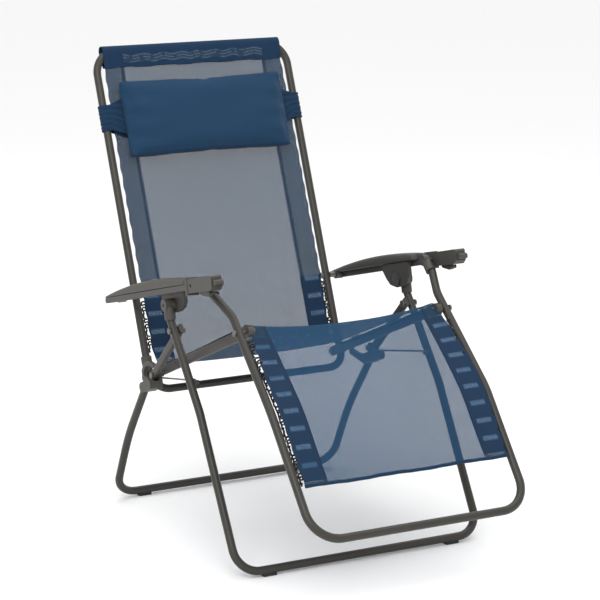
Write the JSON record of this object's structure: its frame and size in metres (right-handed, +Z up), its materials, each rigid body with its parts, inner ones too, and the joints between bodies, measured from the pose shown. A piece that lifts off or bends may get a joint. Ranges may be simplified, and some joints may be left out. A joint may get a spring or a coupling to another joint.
{
  "type": "zero gravity recliner",
  "caption": "folding reclining garden chair with a tube steel frame, laced mesh sling, curved armrests with locking sliders and a padded head pillow",
  "frame": {"origin": "on the floor under the middle of the bounding box", "axes": "+X across the chair, -Y to the foot end, +Z up; left in a node name is the -X side"},
  "size_m": [0.6888, 1.2054, 1.1354],
  "materials": {
    "frame_paint": "satin powder coat",
    "arm_plastic": "fine moulded texture",
    "pad_plastic": "fine moulded texture",
    "foot_rubber": "matt",
    "pin_steel": "zinc plated",
    "mesh_fabric": "open woven mesh",
    "sleeve_fabric": "close woven",
    "pillow_fabric": "close woven, padded",
    "strap_fabric": "gathered elastic webbing",
    "lacing_elastic": "black elastic cord"
  },
  "bodies": {
    "front_legs": {"front_leg_frame": "frame_paint", "front_foot_pads": "foot_rubber", "leg_socket_left": "arm_plastic", "leg_socket_right": "arm_plastic", "stay_clips": "arm_plastic"},
    "rear_legs": {"rear_leg_frame": "frame_paint", "rear_foot_pads": "foot_rubber", "link_bar_left": "frame_paint", "link_bar_right": "frame_paint", "hip_bracket_left": "arm_plastic", "hip_bracket_right": "arm_plastic", "stay_rods": "pin_steel", "link_rivets": "pin_steel"},
    "arm_pivot": {"arm_leg_pins": "pin_steel"},
    "armrests": {"armrest_bar_left": "arm_plastic", "armrest_bar_right": "arm_plastic", "armrest_pad_left": "pad_plastic", "armrest_pad_right": "pad_plastic", "arm_bracket_left": "arm_plastic", "arm_bracket_right": "arm_plastic"},
    "arm_back_pivot": {"arm_back_pins": "pin_steel"},
    "back": {"back_frame": "frame_paint", "back_cross_tube": "frame_paint", "hip_collars": "arm_plastic", "top_sleeve": "sleeve_fabric", "back_panel": "mesh_fabric", "back_lacing": "lacing_elastic"},
    "pillow": {"head_pillow": "pillow_fabric", "pillow_straps": "strap_fabric"},
    "hip_pivot": {"hip_pins": "pin_steel"},
    "seat": {"seat_rail_left": "frame_paint", "seat_rail_right": "frame_paint", "knee_cap_left": "arm_plastic", "knee_cap_right": "arm_plastic", "seat_panel": "mesh_fabric", "seat_edging": "lacing_elastic"},
    "knee_pivot": {"knee_pins": "pin_steel"},
    "leg_rest": {"leg_rest_frame": "frame_paint", "leg_rest_ears": "arm_plastic", "leg_panel": "mesh_fabric", "leg_hem": "sleeve_fabric", "leg_lacing": "lacing_elastic"},
    "sliders": {"slider_block_left": "arm_plastic", "slider_block_right": "arm_plastic"},
    "lever_left": {"lock_lever_left": "arm_plastic"},
    "lever_right": {"lock_lever_right": "arm_plastic"}
  },
  "joints": [
    {"name": "rear_leg_fold", "type": "hinge", "parent": "front_legs", "child": "rear_legs", "pos_m": [0, 0.018, 0.522], "axis": [1, 0, 0], "range_deg": [-56.1, 0]},
    {"name": "arm_fold", "type": "hinge", "parent": "front_legs", "child": "arm_pivot", "pos_m": [0, 0.047, 0.579], "axis": [1, 0, 0], "range_deg": [-79.95, 0]},
    {"name": "arm_recline", "type": "hinge", "parent": "arm_pivot", "child": "armrests", "pos_m": [0, 0.047, 0.579], "axis": [1, 0, 0], "range_deg": [-11.05, 0]},
    {"name": "back_fold", "type": "hinge", "parent": "armrests", "child": "arm_back_pivot", "pos_m": [0, 0.353, 0.535], "axis": [1, 0, 0], "range_deg": [0, 72.64]},
    {"name": "back_recline", "type": "hinge", "parent": "arm_back_pivot", "child": "back", "pos_m": [0, 0.353, 0.535], "axis": [1, 0, 0], "range_deg": [-24.05, 0]},
    {"name": "seat_fold", "type": "hinge", "parent": "back", "child": "hip_pivot", "pos_m": [0, 0.272, 0.352], "axis": [1, 0, 0], "range_deg": [-62.44, 0]},
    {"name": "seat_recline", "type": "hinge", "parent": "hip_pivot", "child": "seat", "pos_m": [0, 0.272, 0.352], "axis": [1, 0, 0], "range_deg": [0, 19.45]},
    {"name": "leg_fold", "type": "hinge", "parent": "seat", "child": "knee_pivot", "pos_m": [0, -0.222, 0.561], "axis": [1, 0, 0], "range_deg": [0, 68.31]},
    {"name": "leg_recline", "type": "hinge", "parent": "knee_pivot", "child": "leg_rest", "pos_m": [0, -0.222, 0.561], "axis": [1, 0, 0], "range_deg": [-29.15, 0]},
    {"name": "slider_travel", "type": "slide", "parent": "armrests", "child": "sliders", "axis": [0, 0.972, -0.2351], "range_m": [-0.018, 0]},
    {"name": "lock_lever_left", "type": "hinge", "parent": "sliders", "child": "lever_left", "pos_m": [0, -0.13833, 0.64647], "axis": [1, 0, 0], "range_deg": [0, 14], "stiffness_Nm_per_rad": 0.4},
    {"name": "lock_lever_right", "type": "hinge", "parent": "sliders", "child": "lever_right", "pos_m": [0, -0.13833, 0.64647], "axis": [1, 0, 0], "range_deg": [0, 14], "stiffness_Nm_per_rad": 0.4},
    {"name": "pillow_height", "type": "slide", "parent": "back", "child": "pillow", "axis": [0, 0.3758, 0.9267], "range_m": [-0.06, 0.02]}
  ],
  "couplings": [
    {"joint": "arm_fold", "follows": "rear_leg_fold", "ratio": 1.4242},
    {"joint": "back_fold", "follows": "rear_leg_fold", "ratio": -1.2939},
    {"joint": "seat_fold", "follows": "rear_leg_fold", "ratio": 1.1121},
    {"joint": "leg_fold", "follows": "rear_leg_fold", "ratio": -1.2167},
    {"joint": "arm_recline", "follows": "slider_travel", "rad_per_m": 10.666},
    {"joint": "back_recline", "follows": "slider_travel", "rad_per_m": 23.271},
    {"joint": "seat_recline", "follows": "slider_travel", "rad_per_m": -18.811},
    {"joint": "leg_recline", "follows": "slider_travel", "rad_per_m": 28.216}
  ]
}
